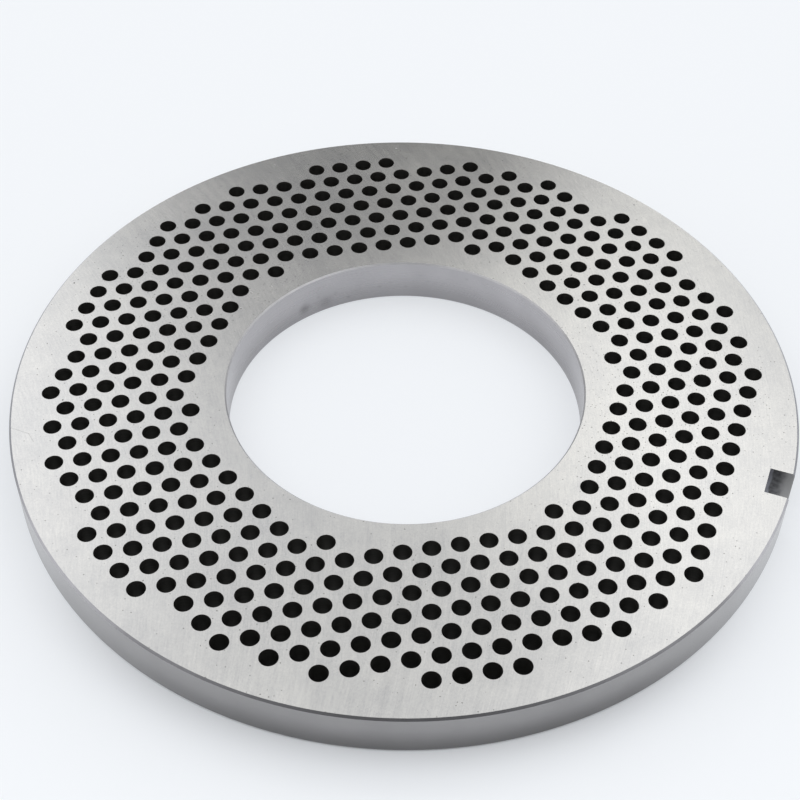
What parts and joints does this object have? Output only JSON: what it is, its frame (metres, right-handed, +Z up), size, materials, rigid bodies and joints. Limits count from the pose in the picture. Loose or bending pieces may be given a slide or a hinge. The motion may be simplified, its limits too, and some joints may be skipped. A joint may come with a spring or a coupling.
{
  "type": "mincer hole plate",
  "caption": "Round steel hole plate of a meat mincer: a flat ring with a wide centre bore, a field of small drilled holes and a square keyway in the rim.",
  "frame": {"origin": "centre of the underside, on the plate's axis", "axes": "+Z up along the plate's axis, through its thickness; +X from the axis through the middle of the rim keyway"},
  "size_m": [0.1745, 0.1746, 0.011],
  "materials": {
    "ground_steel": "fine ground, straight grain on both faces, turned rim and bore"
  },
  "bodies": {
    "root": {"hole_plate": "ground_steel"}
  },
  "joints": []
}
